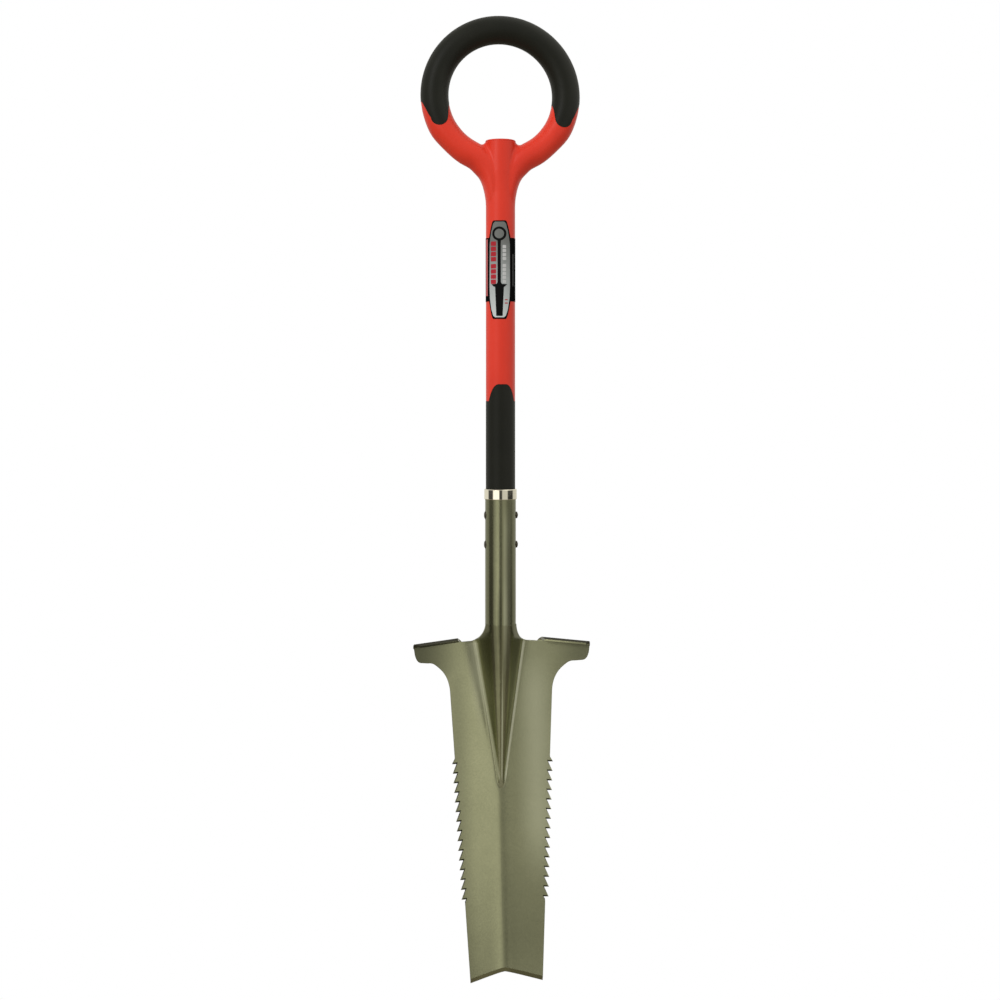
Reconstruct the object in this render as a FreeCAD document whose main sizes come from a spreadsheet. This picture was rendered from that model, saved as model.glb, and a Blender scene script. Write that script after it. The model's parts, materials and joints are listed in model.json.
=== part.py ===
"""Long drain spade with a ring handle, as a parametric FreeCAD document.

Row frame: millimetres, +Z up, the shaft is vertical and the digging face looks along -Y.
The origin is the middle of the bounding box's bottom, so the shaft axis stands at y = shaft_y.
Every piece is drawn about the shaft axis and its Placement carries it to that axis.
"""

import FreeCAD, Part

import math
import os

import Sketcher
from FreeCAD import Placement, Rotation, Vector

OUT = "parts"
FRONT = Vector(0, -1, 0)
UP = Vector(0, 0, 1)

# Driving dimensions, all in millimetres or degrees.
DIMENSIONS = {
    # where the shaft axis stands in the row frame
    "shaft_y": 21.2,
    # ring handle
    "ring_z": 1084.2,
    "ring_radius": 82.7,
    "ring_section_r": 17.25,
    "ring_bed_r": 15.0,
    "ring_grip_r": 17.5,
    "hoop_r": 4.0,
    # boss where the shaft enters the ring
    "boss_r": 19.1,
    "boss_top_z": 1026.6,
    "boss_bottom_z": 989.2,
    "boss_foot_z": 963.2,
    "cap_r": 18.9,
    "cap_top_z": 1028.6,
    "cap_plug_r": 12.4,
    "cap_plug_z": 1013.2,
    "crotch_fillet_r": 5.0,
    # resin sleeve round the core tube
    "sleeve_r": 18.25,
    "sleeve_bottom_z": 593.4,
    "spigot_r": 16.8,
    "core_bottom_z": 471.2,
    "core_r": 14.0,
    "core_bore_r": 12.5,
    # soft lower grip
    "low_grip_r": 18.35,
    "low_grip_bed_r": 16.6,
    "low_grip_ledge_z": 703.2,
    "low_grip_top_z": 724.2,
    "low_grip_arch_x": 15.8,
    "low_grip_arch_top_x": 4.5,
    # label wrapped round the sleeve
    "label_thickness": 0.3,
    "label_top_z": 927.2,
    "label_band_top_z": 906.2,
    "label_band_bottom_z": 827.2,
    "label_bottom_z": 805.2,
    "label_turn_deg": -11.0,
    # socket, collar and the plug inside
    "socket_r": 19.25,
    "socket_bore_r": 16.9,
    "socket_top_z": 592.4,
    "joint_z": 425.2,
    "tongue_z": 381.2,
    "collar_r": 20.3,
    "collar_top_z": 593.6,
    "collar_bottom_z": 580.8,
    "collar_lip_r": 18.5,
    "plug_r": 12.4,
    "plug_top_z": 581.2,
    # two through bolts
    "bolt_top_z": 560.9,
    "bolt_low_z": 524.3,
    "bolt_r": 2.5,
    "bolt_hole_r": 2.6,
    "bolt_head_r": 5.0,
    "bolt_head_h": 2.0,
    "bolt_socket_af": 3.0,
    "bolt_end": 0.8,
    "nut_af": 8.0,
    "nut_h": 2.4,
    "seat_r": 5.6,
    "seat_depth": 0.7,
    # blade plate
    "plate": 2.2,
    "lift": 0.1853,
    "fold": 0.45,
    "fold_round": 8.0,
    "frog_tip_z": 223.2,
    "frog_tip_y": -5.6,
    "frog_tip_proud": 2.5,
    "frog_tip_r": 3.0,
    "frog_end_length": 8.0,
    "frog_end_drop": 5.0,
    "frog_flare_tip_deg": 23.0,
    "frog_flare_top_deg": 31.3,
    "frog_blend": 3.4,
    # blade outline, right half, seen from the front
    "tip_x": 44.0,
    "edge_taper": 0.058,
    "notch_z": 6.2,
    "waist_z": 343.2,
    "wing_x": 110.0,
    "wing_low_z": 379.6,
    "tread_outer_z": 404.4,
    "tread_inner_z": 407.2,
    "tread_inner_x": 53.0,
    "throat_z": 401.7,
    "throat_x": 48.0,
    "throat_in_x": 35.0,
    "throat_top_z": 425.2,
    # saw teeth
    "tooth_first_z": 256.2,
    "tooth_pitch": 11.38,
    "tooth_count": 15,
    "tooth_out": 4.0,
    "tooth_in": 1.6,
    "tooth_bevel_under": 2.3,
    "tooth_bevel_flank": 1.5,
    # turned-over treads and the ground edge
    "lip_depth": 15.0,
    "lip_inner_slant": 8.0,
    "lip_bend_r": 2.4,
    "grind_width": 5.4,
    "grind_depth": 1.8,
    # welds behind the blade
    "weld_r": 2.2,
    "weld_lean_deg": 2.1,
    "weld_inset": 1.95,
    "weld_back": 9.5,
}

doc = FreeCAD.newDocument("drain_spade")
pieces = []


def build_sheet():
    """Writes every driving dimension into its own aliased cell."""
    sheet = doc.addObject("Spreadsheet::Sheet", "dims")
    for row, (alias, value) in enumerate(DIMENSIONS.items(), start=1):
        sheet.set(f"A{row}", alias)
        sheet.set(f"B{row}", repr(value))
        sheet.setAlias(f"B{row}", alias)
    doc.recompute()
    return sheet


dims = build_sheet()


def cell(alias):
    """The number that the sheet holds for an alias."""
    return float(dims.get(alias))


def keep(obj, label):
    """Names a finished piece; its label becomes its file's name."""
    obj.Label = label
    pieces.append(obj)
    return obj


def on_shaft(obj):
    """Stands an object on the shaft axis."""
    obj.setExpression(".Placement.Base.y", "dims.shaft_y")
    return obj


# ---------------------------------------------------------------- sketch helpers


def origin_plane(body, role):
    return next(f for f in body.Origin.OriginFeatures if f.Role == role)


def new_body(name):
    return on_shaft(doc.addObject("PartDesign::Body", name))


def body_sketch(body, name, role="XZ_Plane"):
    sketch = body.newObject("Sketcher::SketchObject", name)
    sketch.AttachmentSupport = [(origin_plane(body, role), "")]
    sketch.MapMode = "FlatFace"
    return sketch


def solved(sketch, expression):
    """The plain number that an expression comes to."""
    value = sketch.evalExpression(expression)
    return float(getattr(value, "Value", value))


def pin_point(sketch, geo, pos, across, along):
    """Fixes one point of a sketch by two expressions, measured from the sketch's origin."""
    for kind, expression, zero_axis in (("DistanceX", across, -2), ("DistanceY", along, -1)):
        if expression == "0":
            sketch.addConstraint(Sketcher.Constraint("PointOnObject", geo, pos, zero_axis))
            continue
        value = solved(sketch, expression)
        index = sketch.addConstraint(Sketcher.Constraint(kind, -1, 1, geo, pos, value))
        sketch.setExpression(f"Constraints[{index}]", expression)


def polygon(sketch, corners):
    """A closed polygon whose corners are pairs of expressions."""
    points = [Vector(solved(sketch, across), solved(sketch, along), 0) for across, along in corners]
    count = len(points)
    first = sketch.GeometryCount
    for i in range(count):
        sketch.addGeometry(Part.LineSegment(points[i], points[(i + 1) % count]), False)
    for i in range(count):
        after = first + (i + 1) % count
        sketch.addConstraint(Sketcher.Constraint("Coincident", first + i, 2, after, 1))
    for i, (across, along) in enumerate(corners):
        pin_point(sketch, first + i, 1, across, along)


def circle(sketch, across, along, radius):
    """A circle from three expressions."""
    x, y, r = [solved(sketch, expression) for expression in (across, along, radius)]
    geo = sketch.addGeometry(Part.Circle(Vector(x, y, 0), Vector(0, 0, 1), r), False)
    pin_point(sketch, geo, 3, across, along)
    index = sketch.addConstraint(Sketcher.Constraint("Radius", geo, r))
    sketch.setExpression(f"Constraints[{index}]", radius)
    return geo


def revolve(body, sketch, name="turned"):
    feature = body.newObject("PartDesign::Revolution", name)
    feature.Profile = sketch
    feature.ReferenceAxis = (sketch, ["V_Axis"])
    feature.Angle = 360
    return feature


def turned(name, corners):
    """A body of revolution about the shaft axis, from (radius, height) expressions."""
    body = new_body(name)
    sketch = body_sketch(body, name + "_section")
    polygon(sketch, corners)
    revolve(body, sketch)
    doc.recompute()
    return body


def drill_for_bolts(body):
    """Cross holes for both bolts, from one sketch seen along X."""
    sketch = body_sketch(body, body.Name + "_bolt_holes", "YZ_Plane")
    for height in ("dims.bolt_top_z", "dims.bolt_low_z"):
        circle(sketch, "0", height, "dims.bolt_hole_r")
    before = body.Shape.Volume
    pocket = body.newObject("PartDesign::Pocket", body.Name + "_drilled")
    pocket.Profile = sketch
    pocket.Type = "ThroughAll"
    pocket.Midplane = True
    doc.recompute()
    if not body.Shape.Volume < before - 1:
        raise ValueError(f"the bolt holes cut nothing from {body.Name}")
    return body


# ---------------------------------------------------------------- tubes and turned pieces


def tube(name, outer, bore, bottom, top):
    return turned(name, [(bore, bottom), (outer, bottom), (outer, top), (bore, top)])


def build_core_tube(hoop):
    """Steel tube from the boss to inside the socket; the hoop passes through it."""
    blank = tube("core_blank", "dims.core_r", "dims.core_bore_r", "dims.core_bottom_z", "dims.boss_top_z")
    drill_for_bolts(blank)
    return keep(cut("core_tube_cut", blank, hoop), "core_tube")


def build_shaft_plug():
    """Nylon dowel that stops the bolts from crushing the tube and keeps soil out."""
    body = turned(
        "shaft_plug",
        [
            ("0", "dims.core_bottom_z - 3"),
            ("dims.core_r", "dims.core_bottom_z - 3"),
            ("dims.core_r", "dims.core_bottom_z - 0.1"),
            ("dims.plug_r", "dims.core_bottom_z - 0.1"),
            ("dims.plug_r", "dims.plug_top_z"),
            ("0", "dims.plug_top_z"),
        ],
    )
    return keep(drill_for_bolts(body), "shaft_plug")


def build_top_cap():
    """Domed cap over the end of the shaft, with a plug that grips the tube's bore."""
    body = turned(
        "top_cap",
        [
            ("0", "dims.cap_plug_z"),
            ("dims.cap_plug_r", "dims.cap_plug_z"),
            ("dims.cap_plug_r", "dims.boss_top_z"),
            ("dims.cap_r", "dims.boss_top_z"),
            ("dims.cap_r", "dims.cap_top_z - 0.7"),
            ("dims.cap_r - 0.7", "dims.cap_top_z"),
            ("0", "dims.cap_top_z"),
        ],
    )
    return keep(body, "top_cap")


def build_collar():
    """Thin ferrule that covers the socket's mouth, with a lip turned in over its end."""
    body = turned(
        "collar",
        [
            ("dims.socket_r + 0.05", "dims.collar_bottom_z"),
            ("dims.collar_r - 0.4", "dims.collar_bottom_z"),
            ("dims.collar_r", "dims.collar_bottom_z + 0.6"),
            ("dims.collar_r", "dims.collar_top_z - 0.8"),
            ("dims.collar_r - 0.6", "dims.collar_top_z"),
            ("dims.collar_lip_r", "dims.collar_top_z"),
            ("dims.collar_lip_r", "dims.socket_top_z + 0.1"),
            ("dims.socket_r + 0.05", "dims.socket_top_z + 0.1"),
        ],
    )
    return keep(body, "collar")


# ---------------------------------------------------------------- booleans and primitives


def cut(name, base, tool):
    obj = doc.addObject("Part::Cut", name)
    obj.Base, obj.Tool = base, tool
    doc.recompute()
    return obj


def common(name, base, tool):
    obj = doc.addObject("Part::Common", name)
    obj.Base, obj.Tool = base, tool
    doc.recompute()
    return obj


def fuse(name, *members):
    obj = doc.addObject("Part::MultiFuse", name)
    obj.Shapes = list(members)
    obj.Refine = True
    doc.recompute()
    return obj


def ring_torus(name, section):
    """A ring about the handle's centre, its axis along Y."""
    torus = doc.addObject("Part::Torus", name)
    torus.setExpression("Radius1", "dims.ring_radius")
    torus.setExpression("Radius2", section)
    torus.Placement = Placement(Vector(), Rotation(Vector(1, 0, 0), 90))
    on_shaft(torus)
    torus.setExpression(".Placement.Base.z", "dims.ring_z")
    return torus


def front_prism(name, wire, depth=240.0):
    """An outline in the XZ plane, extruded through the whole depth of the spade."""
    middle = Vector(0, -depth / 2 + cell("shaft_y"), 0)
    face = Part.Face(wire)
    feature = doc.addObject("Part::Feature", name)
    feature.Shape = face.translated(middle).extrude(Vector(0, depth, 0))
    return feature


def joined(edges):
    return Part.Wire(Part.__sortEdges__(edges))


def line(a, b):
    return Part.makeLine(a, b)


def arc(a, middle, b):
    return Part.Arc(a, middle, b).toShape()


def flat(x, z):
    """A point of the front view."""
    return Vector(x, 0, z)


def curve(*poles):
    """A Bezier curve of the front view through its first and last pole."""
    bezier = Part.BezierCurve()
    bezier.setPoles([flat(x, z) for x, z in poles])
    return bezier.toShape()


def mirrored(edges):
    """The same edges on the left-hand side."""
    return [edge.mirror(Vector(), Vector(1, 0, 0)) for edge in edges]


# ---------------------------------------------------------------- ring handle


def grip_outline():
    """Front view of the ring grip: all of the ring above its two tongues."""
    centre, far = cell("ring_z"), 130.0
    shoulder, tip = centre - 6.0, centre - 39.8
    root_inner, root_outer = 61.5, 101.0
    tip_inner, tip_middle, tip_outer, rise = 67.3, 77.6, 88.2, 9.0
    right = [
        line(flat(0, shoulder), flat(root_inner, shoulder)),
        curve((root_inner, shoulder), (66.4, shoulder - 2), (66.0, tip + 16), (tip_inner, tip + rise)),
        arc(flat(tip_inner, tip + rise), flat(tip_middle, tip), flat(tip_outer, tip + rise)),
        curve((tip_outer, tip + rise), (92.6, tip + 15), (97.4, shoulder - 6), (root_outer, shoulder)),
        line(flat(root_outer, shoulder), flat(far, shoulder)),
    ]
    roof = [
        line(flat(far, shoulder), flat(far, centre + far)),
        line(flat(far, centre + far), flat(-far, centre + far)),
        line(flat(-far, centre + far), flat(-far, shoulder)),
    ]
    return joined(right + mirrored(right) + roof)


def build_ring_grip(window):
    """Soft C-shaped grip moulded over the top of the ring."""
    outer = ring_torus("ring_grip_outer", "dims.ring_grip_r")
    shell = cut("ring_grip_shell", outer, ring_torus("ring_grip_inner", "dims.ring_bed_r"))
    return keep(common("ring_grip_cut", shell, window), "ring_grip")


def limb(side):
    """Half of the ring and its arm, which straightens out of the ring and sinks into the shaft."""
    radius, z0, full = cell("ring_radius"), cell("ring_z"), cell("ring_section_r")
    station_deg, rim_points = 10, 24
    on_ring = [math.radians(180 - station_deg * step) for step in range(13)]
    # across, height, half width and half depth of each section
    stations = [(radius * math.sin(a), z0 - radius * math.cos(a), full, full) for a in on_ring]
    below_ring = [
        (62.7, -52.6, 16.5, 17.2),
        (42.6, -69.8, 16.6, 17.2),
        (30.2, -76.9, 16.4, 17.2),
        (20.4, -86.4, 16.1, 17.0),
        (14.2, -98.3, 13.7, 16.9),
        (11.4, -111.7, 10.9, 16.5),
        (9.8, -124.0, 9.7, 15.3),
        (9.1, -136.0, 9.2, 13.8),
        (8.8, -152.0, 9.0, 12.2),
    ]
    stations += [(x, z0 + z, width, depth) for x, z, width, depth in below_ring]
    path = Part.BSplineCurve()
    path.interpolate(Points=[flat(x, z) for x, z, _, _ in stations])
    sections = []
    for x, z, width, depth in stations:
        centre = flat(side * x, z)
        tangent = path.tangent(path.parameter(flat(x, z)))[0]
        across = Vector(-side * tangent.z, 0, tangent.x)
        rim = []
        for step in range(rim_points):
            angle = 2 * math.pi * step / rim_points
            sideways = across * (width * math.cos(angle))
            rim.append(centre + sideways + Vector(0, depth * math.sin(angle), 0))
        oval = Part.BSplineCurve()
        oval.interpolate(Points=rim, PeriodicFlag=True)
        sections.append(Part.Wire(oval.toShape()))
    return Part.makeLoft(sections, True, False)


def soften_crotch(blank):
    """Rounds the valleys where the arms run into the boss and the shaft."""
    lowest, highest, widest = cell("boss_foot_z") - 40, cell("boss_top_z"), 2 * cell("boss_r") + 1
    shape, radius = blank.Shape, cell("crotch_fillet_r")
    valleys = []
    for number, edge in enumerate(shape.Edges, start=1):
        box = edge.BoundBox
        if box.ZMin < lowest or box.ZMax > highest or box.XLength > widest:
            continue
        beside = [face for face in shape.Faces if any(e.isSame(edge) for e in face.Edges)]
        kinds = {face.Surface.TypeId for face in beside}
        if "Part::GeomBSplineSurface" in kinds and len(kinds) > 1:
            valleys.append((number, radius, radius))
    rounded = doc.addObject("Part::Fillet", "crotch_fillet")
    rounded.Base = blank
    rounded.Edges = valleys
    doc.recompute()
    return rounded


def build_handle_frame(window, hoop, lower_window):
    """Resin moulding: full ring, arms, boss and the sleeve that covers the core tube."""
    sleeve = turned(
        "sleeve_blank",
        [
            ("0", "dims.core_bottom_z"),
            ("dims.spigot_r", "dims.core_bottom_z"),
            ("dims.spigot_r", "dims.sleeve_bottom_z + 0.3"),
            ("dims.sleeve_r", "dims.sleeve_bottom_z + 0.3"),
            ("dims.sleeve_r", "dims.boss_foot_z"),
            ("dims.boss_r", "dims.boss_bottom_z"),
            ("dims.boss_r", "dims.boss_top_z"),
            ("0", "dims.boss_top_z"),
        ],
    )
    drill_for_bolts(sleeve)
    bore = doc.addObject("Part::Cylinder", "sleeve_bore")
    bore.setExpression("Radius", "dims.core_r")
    bore.setExpression("Height", "dims.boss_top_z - dims.core_bottom_z + 20")
    on_shaft(bore)
    bore.setExpression(".Placement.Base.z", "dims.core_bottom_z - 10")
    bed_shell = cut(
        "ring_bed_shell",
        ring_torus("ring_bed_outer", "dims.ring_grip_r + 2"),
        ring_torus("ring_bed_inner", "dims.ring_bed_r"),
    )
    bed = common("ring_bed", bed_shell, window)
    limbs = []
    for side in (1, -1):
        feature = doc.addObject("Part::Feature", "limb")
        feature.Shape = limb(side)
        limbs.append(cut("limb_bedded", on_shaft(feature), bed))
    low_bed_shell = tube(
        "low_bed_shell",
        "dims.sleeve_r + 3",
        "dims.low_grip_bed_r",
        "dims.sleeve_bottom_z + 0.3",
        "dims.low_grip_top_z + 5",
    )
    shaft = cut("sleeve_bedded", sleeve, common("low_bed", low_bed_shell, lower_window))
    blank = soften_crotch(fuse("frame_blank", shaft, fuse("ring_and_arms", *limbs)))
    bored = cut("frame_bored", blank, bore)
    return keep(cut("frame_cut", bored, hoop), "handle_frame")


# ---------------------------------------------------------------- lower grip


def lower_grip_outline():
    """Front view of the lower grip: a sleeve whose top rises to a flat-topped arch."""
    ledge, top = cell("low_grip_ledge_z"), cell("low_grip_top_z")
    foot, wide = cell("sleeve_bottom_z") - 40, 40.0
    arch, crown = cell("low_grip_arch_x"), cell("low_grip_arch_top_x")
    right = [
        curve((arch, ledge), (arch - 1.6, ledge + 8), (crown + 7.2, top - 0.3), (crown, top)),
        line(flat(arch, ledge), flat(wide, ledge)),
        line(flat(wide, ledge), flat(wide, foot)),
    ]
    ends = [line(flat(-crown, top), flat(crown, top)), line(flat(-wide, foot), flat(wide, foot))]
    return joined(right + mirrored(right) + ends)


def build_lower_grip(window):
    """Soft sleeve moulded over the foot of the resin, above the collar."""
    shell = tube(
        "low_grip_shell",
        "dims.low_grip_r",
        "dims.low_grip_bed_r",
        "dims.sleeve_bottom_z + 0.3",
        "dims.low_grip_top_z + 5",
    )
    return keep(common("lower_grip_cut", shell, window), "lower_grip")


# ---------------------------------------------------------------- label


def label_outline():
    """Front view of the label: a tall plaque with a band that runs round the shaft."""
    top, band_top = cell("label_top_z"), cell("label_band_top_z")
    band_bottom, bottom = cell("label_band_bottom_z"), cell("label_bottom_z")
    waist, crown, wide = 13.3, 7.4, 40.0

    def cap(end, band, way):
        return curve((waist, band), (crown + 3.6, end - way * 9), (crown + 2.2, end), (crown, end))

    right = [
        cap(top, band_top, 1),
        line(flat(waist, band_top), flat(wide, band_top)),
        line(flat(wide, band_top), flat(wide, band_bottom)),
        line(flat(wide, band_bottom), flat(waist, band_bottom)),
        cap(bottom, band_bottom, -1),
    ]
    ends = [line(flat(-crown, z), flat(crown, z)) for z in (top, bottom)]
    return joined(right + mirrored(right) + ends)


def box_behind(name, low):
    """A box over the back half of the shaft, from a height expression up."""
    box = doc.addObject("Part::Box", name)
    box.Length, box.Width, box.Height = 60, 30, 60
    box.Placement = Placement(Vector(-30, 0, 0), Rotation())
    on_shaft(box)
    box.setExpression(".Placement.Base.z", low)
    return box


def build_label():
    """Thin vinyl wrap: the plaque shape in front, a plain band behind."""
    shell = tube(
        "label_shell",
        "dims.sleeve_r + dims.label_thickness + 0.02",
        "dims.sleeve_r + 0.02",
        "dims.label_bottom_z - 2",
        "dims.label_top_z + 2",
    )
    wrap = common("label_front", shell, front_prism("label_window", label_outline()))
    above = box_behind("label_behind_top", "dims.label_band_top_z")
    below = box_behind("label_behind_low", "dims.label_band_bottom_z - 60")
    trimmed = cut("label_trim_low", cut("label_trim_top", wrap, above), below)
    shape = trimmed.Shape.copy()
    shape.rotate(Vector(0, cell("shaft_y"), 0), UP, cell("label_turn_deg"))
    label = doc.addObject("Part::Feature", "label_turned")
    label.Shape = shape
    return keep(label, "label")


# ---------------------------------------------------------------- bolts and nuts


def build_bolt(name, height):
    """Low-domed bolt, head on the left, with a hexagon recess; its axis lies along X."""
    body = new_body(name)
    sketch = body_sketch(body, name + "_section", "XY_Plane")
    seat = "-(dims.socket_r - dims.seat_depth)"
    end = "dims.socket_r - dims.seat_depth + dims.nut_h + dims.bolt_end"
    polygon(
        sketch,
        [
            (f"{seat} - dims.bolt_head_h", "0"),
            (f"{seat} - dims.bolt_head_h", "dims.bolt_head_r * 0.5"),
            (f"{seat} - dims.bolt_head_h * 0.72", "dims.bolt_head_r * 0.8"),
            (f"{seat} - dims.bolt_head_h * 0.3", "dims.bolt_head_r"),
            (seat, "dims.bolt_head_r"),
            (seat, "dims.bolt_r"),
            (f"{end} - 0.5", "dims.bolt_r"),
            (end, "dims.bolt_r - 0.5"),
            (end, "0"),
        ],
    )
    feature = body.newObject("PartDesign::Revolution", name + "_turned")
    feature.Profile = sketch
    feature.ReferenceAxis = (sketch, ["H_Axis"])
    feature.Angle = 360
    doc.recompute()
    before = body.Shape.Volume
    recess = body_sketch(body, name + "_recess", "YZ_Plane")
    hexagon(recess, "dims.bolt_socket_af / 2")
    recess_floor = cell("socket_r") - cell("seat_depth") + 0.6
    recess.AttachmentOffset = Placement(Vector(0, 0, -recess_floor), Rotation())
    pocket = body.newObject("PartDesign::Pocket", name + "_hexagon")
    pocket.Profile = recess
    pocket.Length = 5
    pocket.Reversed = True
    doc.recompute()
    if not body.Shape.Volume < before - 1:
        pocket.Reversed = False
        doc.recompute()
    body.setExpression(".Placement.Base.z", height)
    return keep(body, name)


def hexagon(sketch, inradius):
    """A regular hexagon about the sketch's origin, from its inradius."""
    reach = f"({inradius}) / cos(30 deg)"
    corners = []
    for step in range(6):
        angle = 60 * step
        if angle % 180 == 0:
            corners.append((f"{reach} * {int(math.cos(math.radians(angle)))}", "0"))
        else:
            corners.append((f"{reach} * cos({angle} deg)", f"{reach} * sin({angle} deg)"))
    polygon(sketch, corners)


def build_nut(name, height):
    """Thin hexagon nut on the right-hand seat, chamfered on its outer face."""
    blank = new_body(name + "_blank")
    sketch = body_sketch(blank, name + "_hexagon", "YZ_Plane")
    hexagon(sketch, "dims.nut_af / 2")
    circle(sketch, "0", "0", "dims.bolt_r")
    pad = blank.newObject("PartDesign::Pad", name + "_pad")
    pad.Profile = sketch
    pad.setExpression("Length", "dims.nut_h")
    blank.setExpression(".Placement.Base.x", "dims.socket_r - dims.seat_depth")
    blank.setExpression(".Placement.Base.z", height)
    cone = doc.addObject("Part::Cone", name + "_chamfer")
    cone.setExpression("Radius1", "dims.nut_af / 2 + dims.nut_h * 2.2")
    cone.setExpression("Radius2", "dims.nut_af / 2 + 0.1")
    cone.setExpression("Height", "dims.nut_h")
    cone.Placement = Placement(Vector(), Rotation(Vector(0, 1, 0), 90))
    on_shaft(cone)
    cone.setExpression(".Placement.Base.x", "dims.socket_r - dims.seat_depth")
    cone.setExpression(".Placement.Base.z", height)
    doc.recompute()
    return keep(common(name + "_cut", blank, cone), name)


# ---------------------------------------------------------------- blade


def crease_y(z):
    """Depth of the fold line; the blade leans forward as it goes down."""
    return cell("frog_tip_y") + cell("lift") * (z - cell("frog_tip_z"))


def fold_y(x, z):
    """Front surface of the folded plate without the frog."""
    round_off = cell("fold_round")
    return crease_y(z) - cell("fold") * (math.hypot(x, round_off) - round_off)


def frog_share(z):
    """How far up the frog a height lies: 0 at its tip, 1 at the joint with the socket."""
    return (z - cell("frog_tip_z")) / (cell("joint_z") - cell("frog_tip_z"))


def frog_lines(z):
    """Nose radius, ridge depth and skirt flare of the frog at a height; its lower end is blunt."""
    share = frog_share(z)
    nose = cell("frog_tip_r") + (cell("socket_r") - cell("frog_tip_r")) * share
    start = cell("frog_tip_y") - cell("frog_tip_proud")
    ridge = start + (-cell("socket_r") - start) * share
    sunk = 1 - (z - cell("frog_tip_z")) / cell("frog_end_length")
    if sunk > 0:
        ridge += cell("frog_end_drop") * sunk ** 2
    low, high = cell("frog_flare_tip_deg"), cell("frog_flare_top_deg")
    flare = low + (high - low) * max(share, 0.0)
    return max(nose, 0.5), ridge, math.radians(flare)


def frog_y(x, z):
    """Front surface of the frog: a round nose with straight flared skirts."""
    nose, ridge, flare = frog_lines(z)
    x = abs(x)
    reach = nose * math.cos(flare)
    if x < reach:
        return ridge + nose - math.sqrt(nose * nose - x * x)
    return ridge + nose * (1 - math.sin(flare)) + (x - reach) / math.tan(flare)


def face_y(x, z):
    """Front surface of the blade; the two shapes run together over a small radius."""
    plate, frog = fold_y(x, z), frog_y(x, z)
    blend = cell("frog_blend")
    return 0.5 * (plate + frog - math.hypot(plate - frog, blend))


def valley_x(z):
    """Half width of the frog's foot, where its skirts meet the plate."""
    low, high = 0.0, 60.0
    if frog_y(0.0, z) > fold_y(0.0, z) - 0.5:
        return 0.0
    for _ in range(30):
        middle = (low + high) / 2
        if frog_y(middle, z) < fold_y(middle, z):
            low = middle
        else:
            high = middle
    return low


def columns(z, half=118.0):
    """Stations across the plate that follow the frog's nose and its foot."""
    nose, _, flare = frog_lines(z)
    foot = math.hypot(valley_x(z), 6.0)
    edge = min(nose * math.cos(flare), 0.72 * foot) if frog_share(z) > 0 else 0.4 * foot
    near, far = foot - min(3.0, 0.18 * foot), foot + 3.4
    spans = [(0.0, edge, 9), (edge, near, 6), (near, far, 8), (far, far + 9, 5), (far + 9, half, 9)]
    right = [0.0]
    for low, high, count in spans:
        right += [low + (high - low) * (i + 1) / count for i in range(count)]
    return [-x for x in reversed(right[1:])] + right


def clamped_knots(poles, degree=3):
    """Knots and multiplicities of a uniform spline that ends on its first and last pole."""
    inner = poles - degree
    return list(range(inner + 1)), [degree + 1] + [1] * (inner - 1) + [degree + 1]


def spline_face(grid):
    """A smooth face drawn by a grid of poles; it cannot ripple between them."""
    u_knots, u_mults = clamped_knots(len(grid))
    v_knots, v_mults = clamped_knots(len(grid[0]))
    surface = Part.BSplineSurface()
    surface.buildFromPolesMultsKnots(grid, u_mults, v_mults, u_knots, v_knots, False, False, 3, 3)
    return surface.toShape()


def levels():
    """Heights of the rows of poles, from below the tip to the joint; closest at the frog's end."""
    low, end, top = -10.0, cell("frog_tip_z"), cell("joint_z")
    spans = [(low, end - 20, 17), (end - 20, end + 26, 17), (end + 26, top, 20)]
    heights = [low]
    for start, stop, count in spans:
        heights += [start + (stop - start) * (i + 1) / count for i in range(count)]
    return heights


def pressed_plate():
    """The folded and pressed plate before its outline is cut."""
    front, back = [], []
    for z in levels():
        outer, inner = [], []
        for x in columns(z):
            step = 0.05
            across = Vector(2 * step, face_y(x + step, z) - face_y(x - step, z), 0)
            up = Vector(0, face_y(x, z + step) - face_y(x, z - step), 2 * step)
            normal = up.cross(across).normalize()
            spot = Vector(x, face_y(x, z), z)
            outer.append(spot)
            inner.append(spot + normal * cell("plate"))
        front.append(outer)
        back.append(inner)
    faces = [spline_face(front), spline_face(back)]

    def halfway(edge):
        return edge.valueAt((edge.FirstParameter + edge.LastParameter) / 2)

    rims = []
    for edge in faces[0].Edges:
        partner = min(faces[1].Edges, key=lambda e: halfway(e).distanceToPoint(halfway(edge)))
        rims.append(Part.makeRuledSurface(edge, partner))
    shell = Part.makeShell(faces + rims)
    shell.sewShape()
    solid = Part.makeSolid(shell)
    if solid.Volume < 0:
        solid.reverse()
    return solid


def edge_x(z):
    """Half width of the blade at a height, along the straight edge."""
    return cell("tip_x") + cell("edge_taper") * z


def tooth_points():
    """The saw edge of the right side, from its top down."""
    out, back, pitch = cell("tooth_out"), cell("tooth_in"), cell("tooth_pitch")
    first = cell("tooth_first_z")
    points = [flat(edge_x(first + 0.55 * pitch), first + 0.55 * pitch)]
    for i in range(int(cell("tooth_count"))):
        z = first - i * pitch
        points.append(flat(edge_x(z) + out, z))
        last = i == int(cell("tooth_count")) - 1
        points.append(flat(edge_x(z) - (0.2 if last else back), z - 0.5))
    return points


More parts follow.
